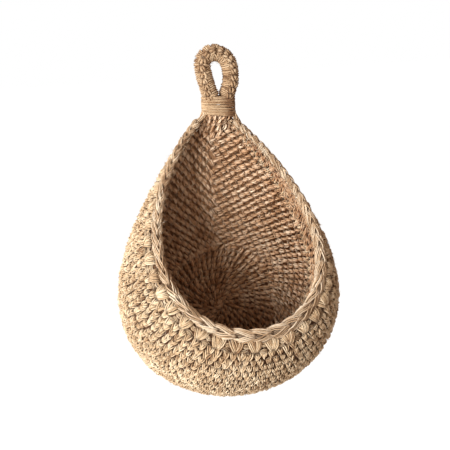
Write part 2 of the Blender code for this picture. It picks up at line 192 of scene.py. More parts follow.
# Yarn: the length of one unit of UV, and loose fibres, thicker than real ones so that they show
FIBRE_LENGTH = 10.0 * MM
MOST_OFFSET = 9
FIBRE_RADIUS = 0.12 * MM
FIBRE_RINGS, FIBRE_SIDES = 5, 3
FIBRE_ROOT = 0.8 * MM
POCKET_FIBRES, POCKET_FIBRE = 1500, 5.0 * MM
RIM_FIBRES, RIM_FIBRE = 1100, 4.5 * MM
LOOP_FIBRES, LOOP_FIBRE = 140, 2.8 * MM
RIM_FIBRE_DEPTH_SHARE = 0.75
FIBRE_REACHES, FIBRE_LIFTS, FIBRE_TWIST = (0.4, 1.3), (0.10, 0.55), 0.35

# How far handwork strays: the angle, size and place of a stitch, its strands and their plies
MOST_SLIP = 1.6
STITCH_LEAN, STITCH_SWELL_SHARE = 0.09, 0.06
STITCH_SHIFT, STRAND_STRAY = 0.24 * MM, 0.27 * MM
PLY_WANDER, PLY_SPLAY, PLY_SWELL_SHARE = 0.13 * MM, 0.22 * MM, 0.08
SHARED_TONE_SHARE = 0.35

# Plies of a bundle, as shares of a ply's radius, and how a bundle opens from its foot to its top
PLY_SIDES = 4
PLY_SPACING_SHARE, PLY_FALL_SHARE = 2.4, 0.15
OPENING_SHARES = ((0, 0.4, 1), (0.55, 0.95, 1.1))
# Painted shade: a stitch's plies darken from the first depth below its face, fully at the second
RECESS_SHADE_FROM, RECESS_SHADE_DEEP = 0.7 * MM, 2.4 * MM

# Photograph: the view that the outline and the rim were fitted to
PHOTO_SIZE = 450
VIEW_AZIMUTH, VIEW_ELEVATION, VIEW_ROLL = -19.9, 17.0, 1.63
VIEW_DISTANCE = 0.750
VIEW_AIM = Vector((0, -0.040, 0.105 + BODY_BOTTOM))
AIM_PIXEL = (232.4, 260.2)
PIXELS_PER_METRE = 1300
SENSOR_WIDTH = 36

# Studio: places in metres, powers in watts
FLOOR_SIZE, FLOOR_DROP = 12, 0.45
FLOOR_GLOW, FLOOR_GLOW_SHARE = 1.1, 0.9
SURROUND_STRENGTH = 0.31
KEY_PLACE, KEY_SIZE, KEY_POWER = (-1.42, -0.83, 0.53), 0.65, 41
BOUNCE_PLACE, BOUNCE_SIZE, BOUNCE_POWER = (0.30, 1.60, 0.50), 1.00, 10
LAMP_AIM = Vector((0, -0.04, 0.05))


def smooth_share(share):
    """A share that leaves 0 and reaches 1 gently."""
    share = np.clip(share, 0, 1)
    return share * share * (3 - 2 * share)


def unit(vectors):
    """Directions, one unit long."""
    return vectors / np.maximum(np.linalg.norm(vectors, axis=-1, keepdims=True), TINY)


def lengths(points):
    """The length of the line up to each of its points."""
    return np.concatenate([[0], np.cumsum(np.linalg.norm(np.diff(points, axis=0), axis=1))])


def read_line(places, run, values):
    """The values along a line, read at given lengths of it."""
    return np.stack([np.interp(places, run, column) for column in np.transpose(values)], -1)


def everywhere(direction, points):
    """One direction, given for every point."""
    return np.broadcast_to(np.array(direction, float), points.shape)


def upright(flat, level):
    """Points or directions across and up, set at a level from back to front."""
    return np.stack([flat[:, 0], 0 * flat[:, 0] + level, flat[:, 1]], -1)


def frames_at(places, run, points, rise, out):
    """Places, directions along, up and out at given lengths of a line."""
    ahead = unit(read_line(places, run, np.gradient(points, axis=0)))
    out = unit(read_line(places, run, out))
    up = unit(np.cross(out, ahead))
    up = up * np.sign((up * read_line(places, run, rise)).sum(-1, keepdims=True))
    return read_line(places, run, points), ahead, up, out


class Teardrop:
    """The outline with its tip cut off at the neck, as points for shares from -1 to 1."""

    def __init__(self, width, neck, taper, base):
        self.half, self.taper, self.base = width / 2, taper, base
        self.height = BODY_TOP - base
        self.peak = math.sqrt(1 / (2 + taper)) * ((1 + taper) / (2 + taper)) ** ((1 + taper) / 2)
        low, high = math.atan(math.sqrt(1 / (1 + taper))), math.pi / 2
        for _ in range(60):
            middle = (low + high) / 2
            if self.reach(middle) > neck / 2:
                low = middle
            else:
                high = middle
        self.end = low

    def reach(self, angle):
        """How far the outline reaches sideways."""
        return self.half * np.sin(angle) * np.abs(np.cos(angle)) ** (1 + self.taper) / self.peak

    def at(self, along):
        """Points of the outline, across and up."""
        angle = along * self.end
        return self.reach(angle), self.base + self.height * (np.sin(angle) / math.sin(self.end)) ** 2


BODY = Teardrop(BODY_WIDTH, NECK_WIDTH, OUTLINE_TAPER, BODY_BOTTOM)
MOUTH = Teardrop(MOUTH_WIDTH, MOUTH_NECK_WIDTH, MOUTH_TAPER, BODY_BOTTOM + RIM_DROP_HEIGHT)


def body_edge(count):
    """The body's outline, across and up, and the directions inwards from it."""
    edge = np.stack(BODY.at(np.linspace(-1, 1, count)), -1)
    return edge, unit(np.stack([-np.gradient(edge[:, 1]), np.gradient(edge[:, 0])], -1))


class Shell:
    """The pocket's wall as grids of points: outer and inner faces, normals and distances from the rim."""

    def __init__(self, stations=901, rows=101):
        self.along = np.linspace(-1, 1, stations)
        x, z = BODY.at(self.along)
        rim_x, rim_z = MOUTH.at(self.along)
        fall = ((1 + np.cos(math.pi * self.along)) / 2) ** DEPTH_TAPER
        depth = NECK_DEPTH + (POCKET_DEPTH - NECK_DEPTH) * fall
        out = unit(np.stack([np.gradient(z), 0 * x, -np.gradient(x)], -1))
        forward = np.stack([0 * x, -depth, 0 * x], -1)
        turn = smooth_share(depth / POCKET_DEPTH / FULL_TURN_SHARE)[:, None]
        base = np.stack([x, 0 * x - PANEL_THICKNESS, z], -1)
        self.rim = np.stack([rim_x, -PANEL_THICKNESS - depth, rim_z], -1)
        low = base + out * depth[:, None] * BASE_SIDEWAYS_SHARE + forward * BASE_FORWARD_SHARE
        high = self.rim + out * depth[:, None] * RIM_SIDEWAYS_SHARE * turn
        high = high + forward * (RIM_FORWARD_SHARE * turn - RIM_BACK_SHARE * (1 - turn))
        t = np.linspace(0, 1, rows)[None, :, None]
        points = base[:, None] * (1 - t) ** 3 + low[:, None] * 3 * (1 - t) ** 2 * t
        points = points + high[:, None] * 3 * (1 - t) * t**2 + self.rim[:, None] * t**3
        self.rise = unit(np.gradient(points, axis=1))
        self.normal = unit(np.cross(np.gradient(points, axis=0), self.rise))
        self.outer = points + self.normal * (WALL / 2 * t**2)
        self.inner = self.outer - self.normal * WALL
        self.inner[..., 1] = np.minimum(self.inner[..., 1], -PANEL_THICKNESS)
        steps = np.linalg.norm(np.diff(points, axis=1), axis=2)
        left = np.concatenate([np.zeros((stations, 1)), np.cumsum(steps[:, ::-1], axis=1)], axis=1)
        self.left = left[:, ::-1]
        self.neck_share = (1 - np.cos(math.pi * self.along)) / 2

    def level(self, grid, distance):
        """A grid's values at one distance down the wall from the rim, for every station."""
        distance = np.broadcast_to(distance, self.along.shape)
        values = np.empty((len(self.along), 3))
        for i in range(len(self.along)):
            left = self.left[i, ::-1]
            for k in range(3):
                values[i, k] = np.interp(distance[i], left, grid[i, ::-1, k])
        return values

    def course(self, face, distance, width, shift, margin):
        """Frames of the stitches along one course: places, directions along, up and out."""
        keep = self.left[:, 0] > distance + margin
        if keep.sum() < FEWEST_STATIONS:
            return None
        points = self.level(face, distance)[keep]
        normal = unit(self.level(self.normal, distance))[keep]
        rise = unit(self.level(self.rise, distance))[keep]
        run = lengths(points)
        run = run - run[len(run) // 2]
        places = (np.arange(math.floor(run[0] / width), math.ceil(run[-1] / width)) + shift) * width
        places = places[(places > run[0] + width * END_SHARE) & (places < run[-1] - width * END_SHARE)]
        if not len(places):
            return None
        return frames_at(places, run, points, rise, normal)


SHELL = Shell()


def placed(name, data):
    """An object that holds the data, in the scene."""
    piece = bpy.data.objects.new(name, data)
    bpy.context.scene.collection.objects.link(piece)
    return piece


class Yarns:
    """Lengths of yarn gathered into one mesh, each closed at both ends, with a tint of its own."""

    def __init__(self):
        self.points, self.loops, self.starts, self.uvs = [], [], [], []
        self.tints, self.recess_shades = [], []
        self.count = self.corners = 0

    def lay(self, paths, radii, facing, sides, tint=None, recess_shade=0.0):
        """Adds tubes. paths is (tubes, rings, 3), radii (tubes, rings), facing (tubes, rings, 3)."""
        tubes, rings = paths.shape[:2]
        radii = np.broadcast_to(radii, (tubes, rings))
        side = unit(np.cross(unit(np.gradient(paths, axis=1)), np.broadcast_to(facing, paths.shape)))
        top = np.cross(side, unit(np.gradient(paths, axis=1)))
        angle = 2 * math.pi * np.arange(sides) / sides
        ring = side[:, :, None] * np.cos(angle)[:, None] + top[:, :, None] * np.sin(angle)[:, None]
        points = paths[:, :, None] + ring * radii[:, :, None, None]
        steps = np.linalg.norm(np.diff(paths, axis=1), axis=2)
        run = np.concatenate([np.zeros((tubes, 1)), np.cumsum(steps, 1)], 1)
        self.close(run / FIBRE_LENGTH + random.random((tubes, 1)) * MOST_OFFSET, sides)
        tint = random.random((tubes, 1)) if tint is None else np.reshape(tint, (tubes, -1))
        for values, kept in ((tint, self.tints), (recess_shade, self.recess_shades)):
            kept.append(np.repeat(np.broadcast_to(values, (tubes, rings)).ravel(), sides))
        self.points.append(points.reshape(-1, 3))
        self.count += tubes * rings * sides

    def close(self, run, sides):
        """Adds the tubes' faces and caps, with a UV of the run along and the place around each tube."""
        tubes, rings = run.shape
        i, j = np.meshgrid(np.arange(rings - 1), np.arange(sides), indexing="ij")
        i, j = i.ravel(), j.ravel()
        k = (j + 1) % sides
        quads = np.stack([i * sides + j, i * sides + k, (i + 1) * sides + k, (i + 1) * sides + j], -1)
        caps = np.stack([np.arange(sides)[::-1], (rings - 1) * sides + np.arange(sides)])
        corners = np.concatenate([quads.ravel(), caps.ravel()])
        starts = np.concatenate([np.arange(len(quads)) * 4, quads.size + np.arange(2) * sides])
        tube = np.arange(tubes)[:, None]
        self.loops.append((corners + self.count + tube * rings * sides).ravel())
        self.starts.append((starts + self.corners + tube * len(corners)).ravel())
        along = np.stack([run[:, i], run[:, i], run[:, i + 1], run[:, i + 1]], -1)
        around = np.stack([j / sides, (j + 1) / sides, (j + 1) / sides, j / sides], -1)
        wall = np.stack([along, np.broadcast_to(around, along.shape)], -1).reshape(tubes, -1, 2)
        ends = np.repeat(run[:, [0, -1]], sides, 1)
        ends = np.stack([ends, np.zeros_like(ends)], -1)
        self.uvs.append(np.concatenate([wall, ends], 1).reshape(-1, 2))
        self.corners += tubes * len(corners)

    def piece(self, name, material):
        """All the yarn laid so far, as one piece."""
        mesh = bpy.data.meshes.new(name)
        loops, starts = np.concatenate(self.loops), np.concatenate(self.starts)
        mesh.vertices.add(self.count)
        mesh.vertices.foreach_set("co", np.concatenate(self.points).astype(np.float32).ravel())
        mesh.loops.add(len(loops))
        mesh.loops.foreach_set("vertex_index", loops.astype(np.int32))
        mesh.polygons.add(len(starts))
        mesh.polygons.foreach_set("loop_start", starts.astype(np.int32))
        uvs = np.concatenate(self.uvs).astype(np.float32)
        mesh.uv_layers.new(name="yarn").uv.foreach_set("vector", uvs.ravel())
        for layer, values in (("tint", self.tints), ("recess_shade", self.recess_shades)):
            shades = mesh.attributes.new(layer, "FLOAT", "POINT")
            shades.data.foreach_set("value", np.concatenate(values).astype(np.float32))
        mesh.update(calc_edges=True)
        mesh.validate()
        mesh.shade_smooth()
        mesh.materials.append(material)
        return placed(name, mesh)


def curve(values, count):
    """A smooth run of values through four given at equal steps."""
    given = np.linspace(0, 1, len(values))
    return np.polyval(np.polyfit(given, values, 3), np.linspace(0, 1, count))


def strand(points, radius, plies, rings=5):
    """One bundle of a stitch: across and up in shares of the stitch, out in millimetres."""
    points = np.array(points, float) * (1, 1, MM)
    path = np.stack([curve(column, rings) for column in points.T], -1)
    return path, radius * curve(END_TAPER_SHARES, rings), plies


# Plies of the stitches, each thinner at its ends
FINE, PLUMP = 0.50 * MM, 0.57 * MM
RIB = 1.35 * PLUMP
END_TAPER_SHARES = (0.75, 1.0, 1.0, 0.75)

# Outer stitch: a fan of two legs of fine plies, with a loop between them and a bar behind
FAN_STITCH = (
    strand(((0.05, -0.62, -1.9), (-0.09, -0.22, -0.2), (-0.22, 0.20, 0.1), (-0.32, 0.57, -1.4)), FINE, 2),
    strand(((-0.02, -0.62, -1.9), (0.12, -0.22, -0.3), (0.25, 0.20, 0.0), (0.34, 0.57, -1.5)), FINE, 2),
    strand(((0.08, -0.42, -1.9), (0.00, -0.08, -0.2), (0.03, 0.25, 0.0), (0.08, 0.60, -1.5)), FINE, 1),
    strand(((-0.52, 0.46, -2.4), (-0.17, 0.52, -1.5), (0.17, 0.54, -1.5), (0.52, 0.46, -2.4)), FINE, 1),
)

# Large fan under the rim: two full legs, a third over them, and two bars that reach the next fan
POST_STITCH = (
    strand(((0.05, -0.58, -2.6), (-0.09, -0.20, 0.0), (-0.20, 0.20, 0.4), (-0.28, 0.62, -1.6)), FINE, 4),
    strand(((-0.04, -0.58, -2.6), (0.11, -0.20, 0.0), (0.20, 0.20, 0.3), (0.26, 0.62, -1.6)), FINE, 4),
    strand(((-0.16, -0.46, -2.2), (-0.02, -0.10, 0.3), (0.04, 0.22, 0.5), (0.10, 0.62, -1.4)), FINE, 3),
    strand(((0.28, 0.34, -2.4), (0.42, 0.14, -1.0), (0.58, 0.10, -1.0), (0.72, 0.30, -2.4)), FINE, 3),
    strand(((0.22, -0.40, -2.4), (0.42, -0.30, -1.3), (0.58, -0.30, -1.3), (0.78, -0.40, -2.4)), FINE, 3),
)

# Inner stitch: a plump leaning rib between two lower plies, and a bar across its top
LEAN_STITCH = (
    strand(((-0.43, -0.46, -2.0), (-0.29, -0.16, -0.9), (-0.14, 0.14, -0.7), (-0.02, 0.44, -1.8)), PLUMP, 1),
    strand(((-0.20, -0.54, -1.8), (-0.08, -0.20, -0.2), (0.08, 0.18, 0.0), (0.22, 0.54, -1.6)), RIB, 1),
    strand(((0.04, -0.44, -1.9), (0.15, -0.14, -0.6), (0.30, 0.18, -0.8), (0.43, 0.48, -1.9)), PLUMP, 1),
    strand(((-0.55, 0.38, -2.2), (-0.18, 0.46, -1.3), (0.22, 0.48, -1.3), (0.55, 0.42, -2.2)), PLUMP, 2, 4),
)


def wander(spread, shape):
    """Handwork's small slips: random values with the rare large ones held back."""
    return np.clip(random.normal(0, spread, shape), -MOST_SLIP * spread, MOST_SLIP * spread)


def lay_stitches(yarns, frames, stitch, width, height):
    """Copies a stitch to every frame of a course, each a little out of line, size and angle."""
    origin, ahead, up, out = frames
    count = len(origin)
    lean = wander(STITCH_LEAN, (count, 1, 1))
    size = 1 + wander(STITCH_SWELL_SHARE, (count, 1, 1))
    shift = wander(STITCH_SHIFT, (count, 1, 3))
    tone = random.random(count)
    for points, radii, plies in stitch:
        stray = wander(STRAND_STRAY, (2, count, 1, 3))
        ends = np.linspace(-1, 1, len(points))[None, :, None]
        across = points[None, :, 0:1] * width * size
        high = points[None, :, 1:2] * height * size
        path = origin[:, None] + shift + stray[0] + stray[1] * ends
        path = path + ahead[:, None] * (across + lean * high)
        path = path + up[:, None] * high + out[:, None] * points[None, :, 2:3]
        # Painted shade: the deeper a ply dips below the stitch's face, the darker it is coloured
        recess_shade = np.clip((-points[:, 2] - RECESS_SHADE_FROM) / (RECESS_SHADE_DEEP - RECESS_SHADE_FROM), 0, 1)
        spread = np.interp(np.linspace(0, 1, len(points)), *OPENING_SHARES)
        lay_plies(yarns, path, radii[None] * size[..., 0], out[:, None], plies, tone, recess_shade[None], spread)


def lay_plies(yarns, paths, radii, facing, plies, tone=None, recess_shade=0.0, spread=1.0, splay=PLY_SPLAY):
    """Lays plies side by side, the middle one standing out furthest."""
    side = unit(np.cross(unit(np.gradient(paths, axis=1)), facing))
    tone = random.random(len(paths)) if tone is None else tone
    radii = np.broadcast_to(radii, paths.shape[:2])
    ends = np.linspace(-1, 1, paths.shape[1])[None, :, None]
    for ply in range(plies):
        place = ply - (plies - 1) / 2
        aside = place * PLY_SPACING_SHARE * radii * spread
        low = place**2 * PLY_FALL_SHARE * radii
        loose = random.normal(0, PLY_WANDER, (len(paths), 1, 3))
        path = paths + loose + side * aside[..., None] - facing * low[..., None]
        path = path + random.normal(0, splay, (len(paths), 1, 3)) * ends
        tint = SHARED_TONE_SHARE * tone + (1 - SHARED_TONE_SHARE) * random.random(len(paths))
        thick = radii * (1 + random.normal(0, PLY_SWELL_SHARE))
        yarns.lay(path, thick, facing, PLY_SIDES, tint, recess_shade)


class Cord:
    """A cord of oval section to lay yarn on: line, directions across it, half widths, ridge angle."""

    def __init__(self, line, side, front, half_side, half_front, ridge):
        self.line, self.side, self.half_side = line, unit(side), half_side
        widths = np.stack([half_side, half_front, ridge], -1)
        self.values = np.concatenate([line, self.side, unit(front), widths], 1)
        self.run = lengths(line)
        self.size = half_side.max()

    def lay(self, yarns, spots, turn, high, radius, plies, recess_shade=0.0, splay=PLY_SPLAY):
        """Lays plies through lengths of the cord, angles from its ridge and heights over its face."""
        values = read_line(spots, self.run, self.values)
        line, side, front, across, deep, ridge = np.split(values, (3, 6, 9, 10, 11), axis=1)
        cosine, sine = np.cos(ridge + turn[:, None]), np.sin(ridge + turn[:, None])
        out = unit(side * cosine / across + front * sine / deep)
        small = across / self.size
        path = line + side * cosine * across + front * sine * deep + out * high[:, None] * small
        thick = (radius * small[:, 0])[None]
        recess_shade = np.broadcast_to(recess_shade, (1, len(spots)))
        lay_plies(yarns, path[None], thick, out[None], plies, recess_shade=recess_shade, splay=splay)

    def chain(self, yarns, places, sizes, reach, length, radius, plies, low=0.0, splay=PLY_SPLAY):
        """Linked loops along the ridge: the two legs of each spread, then dip under the next."""
        turn = curve(LINK_SPREAD, LINK_RINGS) * reach
        high = curve(LINK_HEIGHTS, LINK_RINGS) * MM - low
        thick = curve(LINK_TAPER_SHARES, LINK_RINGS) * radius
        # Painted shade: plies darken where the link dips below the cord's face
        recess_shade = np.clip(-high / LINK_SHADE_DEPTH, 0, 1)
        for place, size in zip(places, np.broadcast_to(sizes, len(places))):
            spots = place + (LINK_AHEAD_SHARE - np.linspace(0, length, LINK_RINGS)) * size
            spots = np.clip(spots + random.normal(0, LINK_SLIP_SHARE * size), 0, self.run[-1])
            for hand in (-1, 1):
                leg = hand * turn * (1 + random.normal(0, LEG_SWELL_SHARE))
                self.lay(yarns, spots, leg, high, thick, plies, recess_shade, splay)
            filler = high * FILLER_RISE_SHARE - FILLER_DEEP
            self.lay(yarns, spots, 0 * turn, filler, thick, FILLER_PLIES, FILLER_SHADE)

    def wraps(self, yarns, places, lean, gap, low, radius, plies, splay=PLY_SPLAY):
        """Bundles of plies that go round the cord from one side of the chain to the other."""
        turn = np.linspace(gap, 2 * math.pi - gap, WRAP_RINGS)
        thick = np.interp(np.linspace(0, 1, WRAP_RINGS), *WRAP_TAPER_SHARES) * radius
        for place in places:
            spots = place + lean * np.cos(turn / 2) + random.normal(0, WRAP_SLIP)
            high = np.full(WRAP_RINGS, -low) + random.normal(0, WRAP_SLIP)
            self.lay(yarns, np.clip(spots, 0, self.run[-1]), turn, high, thick, plies, splay=splay)


def srgb(text):
    """A hex colour, turned to linear."""
    channels = [int(text[i:i + 2], 16) / 255 for i in (0, 2, 4)]
    return (*[c / 12.92 if c <= 0.04045 else ((c + 0.055) / 1.055) ** 2.4 for c in channels], 1)


def add_node(tree, kind, links=(), **settings):
    """Adds a node, sets its values and sockets, and links its inputs from other nodes' outputs."""
    node = tree.nodes.new(kind)
    for name, value in settings.items():
        setattr(node, name, value)
    for socket, source in links:
        if isinstance(source, bpy.types.NodeSocket):
            tree.links.new(source, node.inputs[socket])
        else:
            node.inputs[socket].default_value = source
    return node


def new_material(name):
    """A named material, its node tree and its shader."""
    material = bpy.data.materials.new(name)
    material.use_nodes = True
    return material, material.node_tree, material.node_tree.nodes["Principled BSDF"]


# Jute's patterns: cloudy patches of about 17 mm, felt lumps of about 1.4 mm, and fibres about 3 mm
# long and 0.3 mm wide. Real jute fibres are several times finer and wouldn't show at this size.
CLOUDS_PER_METRE, LUMPS_PER_METRE = 60.0, 700.0
FIBRE_STRETCH = (3.2, 1.7, 1.7)
YARN_TWIST = 2.4
TINT_WEIGHT, FIBRE_WEIGHT = 0.85, 1.5
SHADE_FROM, SHADE_TO, MIDDLE_AT = 1.15, 2.15, 0.45
# How far the deepest plies are mixed towards the painted shade colour
RECESS_SHADE_SHARE = 0.85
JUTE_BUMP, FIBRE_BUMP_DEPTH, LUMP_BUMP_DEPTH = 0.6, 0.5 * MM, 0.4 * MM


def spun_jute(name, gap_shade, dark, middle, light):
    """Loosely spun jute: pale golden fibres run along each ply, browner where they part.

    Each ply has a tint of its own, and is darkened towards a brown as painted shade where it dips between its
    neighbours.
    """
    material, tree, shader = new_material(name)
    tint = add_node(tree, "ShaderNodeAttribute", attribute_name="tint")
    place = add_node(tree, "ShaderNodeTexCoord")
    cloud = add_node(tree, "ShaderNodeTexNoise",
                     [("Vector", place.outputs["Object"]), ("Scale", CLOUDS_PER_METRE), ("Detail", 2.0)])
    yarn = add_node(tree, "ShaderNodeUVMap", uv_map="yarn")
    split = add_node(tree, "ShaderNodeSeparateXYZ", [("Vector", yarn.outputs["UV"])])
    twist = add_node(tree, "ShaderNodeMath", [(0, split.outputs["X"]), (1, YARN_TWIST), (2, 0.0)],
                     operation="MULTIPLY_ADD")
    turn = add_node(tree, "ShaderNodeMath",
                    [(0, split.outputs["Y"]), (1, 2 * math.pi), (2, twist.outputs[0])],
                    operation="MULTIPLY_ADD")
    cosine = add_node(tree, "ShaderNodeMath", [(0, turn.outputs[0])], operation="COSINE")
    sine = add_node(tree, "ShaderNodeMath", [(0, turn.outputs[0])], operation="SINE")
    round_yarn = add_node(tree, "ShaderNodeCombineXYZ",
                          [("X", split.outputs["X"]), ("Y", cosine.outputs[0]), ("Z", sine.outputs[0])])
    stretch = add_node(tree, "ShaderNodeVectorMath", [(0, round_yarn.outputs[0]), (1, FIBRE_STRETCH)],
                       operation="MULTIPLY")
    fibre = add_node(tree, "ShaderNodeTexNoise", [("Vector", stretch.outputs[0]), ("Scale", 1.0),
                                                  ("Detail", 3.0), ("Roughness", 0.7)])
    mixed = add_node(tree, "ShaderNodeMath",
                     [(0, tint.outputs["Fac"]), (1, TINT_WEIGHT), (2, cloud.outputs["Fac"])],
                     operation="MULTIPLY_ADD")
    fibres = add_node(tree, "ShaderNodeMath",
                      [(0, fibre.outputs["Fac"]), (1, FIBRE_WEIGHT), (2, mixed.outputs[0])],
                      operation="MULTIPLY_ADD")
    share = add_node(tree, "ShaderNodeMapRange",
                     [("Value", fibres.outputs[0]), ("From Min", SHADE_FROM), ("From Max", SHADE_TO)])
    ramp = add_node(tree, "ShaderNodeValToRGB", [("Fac", share.outputs[0])])
    ramp.color_ramp.elements[0].color = srgb(dark)
    ramp.color_ramp.elements[1].color = srgb(light)
    ramp.color_ramp.elements.new(MIDDLE_AT).color = srgb(middle)
    # Painted shade: each ply is mixed towards the dark gap colour by how deep it dips
    recess_shade = add_node(tree, "ShaderNodeAttribute", attribute_name="recess_shade")
    deep = add_node(tree, "ShaderNodeMath", [(0, recess_shade.outputs["Fac"]), (1, RECESS_SHADE_SHARE)], operation="MULTIPLY")
    shade = add_node(tree, "ShaderNodeMixRGB",
                     [("Fac", deep.outputs[0]), ("Color1", ramp.outputs[0]), ("Color2", srgb(gap_shade))])
    tree.links.new(shade.outputs[0], shader.inputs["Base Color"])
    bumped = add_node(tree, "ShaderNodeBump", [("Strength", JUTE_BUMP), ("Distance", FIBRE_BUMP_DEPTH),
                                               ("Height", fibre.outputs["Fac"])])
    tree.links.new(bumped.outputs["Normal"], shader.inputs["Normal"])
    shader.inputs["Roughness"].default_value = 0.85
    shader.inputs["Specular IOR Level"].default_value = 0.3
    shader.inputs["Sheen Weight"].default_value = 0.1
    shader.inputs["Sheen Roughness"].default_value = 0.5
    return material


def shaded_core_jute(name, dark, light):
    """The inside of the fabric, seen only in the gaps: dull brown lumps, coloured dark as painted shade."""
    material, tree, shader = new_material(name)
    place = add_node(tree, "ShaderNodeTexCoord")
    cloud = add_node(tree, "ShaderNodeTexNoise",
                     [("Vector", place.outputs["Object"]), ("Scale", LUMPS_PER_METRE), ("Detail", 3.0)])
    ramp = add_node(tree, "ShaderNodeValToRGB", [("Fac", cloud.outputs["Fac"])])
    ramp.color_ramp.elements[0].color = srgb(dark)
    ramp.color_ramp.elements[1].color = srgb(light)
    tree.links.new(ramp.outputs[0], shader.inputs["Base Color"])
    bumped = add_node(tree, "ShaderNodeBump", [("Strength", JUTE_BUMP), ("Distance", LUMP_BUMP_DEPTH),
                                               ("Height", cloud.outputs["Fac"])])
    tree.links.new(bumped.outputs["Normal"], shader.inputs["Normal"])
    shader.inputs["Roughness"].default_value = 0.95
    return material


def lofted(name, sections, material):
    """A closed solid lofted through closed sections, capped at both ends."""
    sections = np.array(sections)
    count, size = sections.shape[:2]
    faces = []
    for i in range(count - 1):
        for j in range(size):
            k = (j + 1) % size
            faces.append((i * size + j, i * size + k, (i + 1) * size + k, (i + 1) * size + j))
    faces.append(tuple(range(size))[::-1])
    faces.append(tuple((count - 1) * size + j for j in range(size)))
    mesh = bpy.data.meshes.new(name)
    mesh.from_pydata(sections.reshape(-1, 3).tolist(), [], faces)
    mesh.materials.append(material)
    piece = placed(name, mesh)
    turn_normals_out(piece)
    mesh.shade_smooth()
    return piece


def turn_normals_out(piece):
    """Merges a piece's doubles, then points its faces outwards."""
    bpy.ops.object.select_all(action="DESELECT")
    piece.select_set(True)
    bpy.context.view_layer.objects.active = piece
    bpy.ops.object.mode_set(mode="EDIT")
    bpy.ops.mesh.select_all(action="SELECT")
    bpy.ops.mesh.remove_doubles(threshold=0.01 * MM)
    bpy.ops.mesh.normals_make_consistent(inside=False)
    bpy.ops.object.mode_set(mode="OBJECT")


def settle(piece, body, slot, *nodes):
    """Puts a piece on its body and hides its CAD nodes; the slot, its finish, is not used."""
    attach(piece, body)
    if nodes:
        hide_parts(*nodes)


def pocket_lining(material):
    """The middle of the wall, between the stitches of its two faces: a layer that blocks light, coloured dark
    as painted shade.
    """
    rows = np.linspace(0, SHELL.outer.shape[1] * LINING_REACH_SHARE, 26).astype(int)
    sections = []
    for i in np.linspace(0, len(SHELL.along) - 1, 161).astype(int):
        outer = SHELL.outer[i, rows] - SHELL.normal[i, rows] * LINING_OUTER
        inner = SHELL.outer[i, rows[::-1]] - SHELL.normal[i, rows[::-1]] * LINING_INNER
        outer[:, 1] = np.minimum(outer[:, 1], -PANEL_THICKNESS + LINING_SEAT)
        inner[:, 1] = np.minimum(inner[:, 1], -PANEL_THICKNESS + LINING_SEAT)
        foot = np.stack([outer[0], inner[-1]])
        foot[:, 1] = -LINING_FOOT
        sections.append(np.concatenate([foot[:1], outer, inner, foot[1:]]))
    settle(lofted("pocket_lining", sections, material), "basket", "pocket_jute")


def lay_halves(halves, frames, stitch, width, height):
    """Lays a course in two pieces, left and right of the middle."""
    left = frames[0][:, 0] < 0
    for yarns, keep in zip(halves, (left, ~left)):
        if keep.any():
            lay_stitches(yarns, [part[keep] for part in frames], stitch, width, height)


def lay_courses(halves, grid, facing, distance, shift, margin, stitch, width, height):
    """Lays courses down the wall, each shifted from the one above by a share of a stitch."""
    row = 0
    while distance < SHELL.left.max():
        frames = SHELL.course(grid, distance, width, shift * row % 1, margin)
        if frames is not None:
            origin, ahead, up, out = frames
            lay_halves(halves, (origin, ahead, up, out * facing), stitch, width, height)
        distance += height
        row += 1


def pocket_courses(material):
    """The outer courses: large fans under the rim's chain, then fans staggered by half a stitch."""
    halves = Yarns(), Yarns()
    distance = CHAIN_HALF_RISE + POST_HEIGHT / 2 - POST_TUCK
    frames = SHELL.course(SHELL.outer, distance, POST_WIDTH, 0.5, POST_MARGIN)
    lay_halves(halves, frames, POST_STITCH, POST_WIDTH, POST_HEIGHT)
    distance += (POST_HEIGHT + COURSE_HEIGHT) / 2
    lay_courses(halves, SHELL.outer, 1, distance, 0.5, OUTER_MARGIN, FAN_STITCH, STITCH_WIDTH, COURSE_HEIGHT)
    settle(halves[0].piece("pocket_left", material), "basket", "pocket_jute", "pocket")
    settle(halves[1].piece("pocket_right", material), "basket", "pocket_jute")


def pocket_inside(material):
    """The inner courses, whose stitches are short leaning ribs."""
    halves = Yarns(), Yarns()
    lay_courses(halves, SHELL.inner, -1, INNER_START, DRIFT_SHARE, INNER_MARGIN, LEAN_STITCH, INNER_WIDTH,
                INNER_HEIGHT)
    settle(halves[0].piece("inside_left", material), "basket", "pocket_jute")
    settle(halves[1].piece("inside_right", material), "basket", "pocket_jute")


def centre_rounds():
    """Circles about the starting ring: points, stitches up to each, and where the stitches sit.

    The stitches of one round drift a little past those of the next, all the same way round.
    """
    rounds = []
    turn = np.linspace(0, 2 * math.pi, 181)
    for number in range(round(CENTRE_ROUNDS_REACH / INNER_HEIGHT)):
        radius = (number + 0.5) * INNER_HEIGHT
        count = next(stitches for reach, stitches in ROUND_STITCHES if radius < reach)
        places = (np.arange(count) - DRIFT_SHARE * number) % count
        line = np.stack([radius * np.sin(turn), -radius * np.cos(turn)], -1)
        rounds.append((line, turn * count / (2 * math.pi), places))
    return rounds


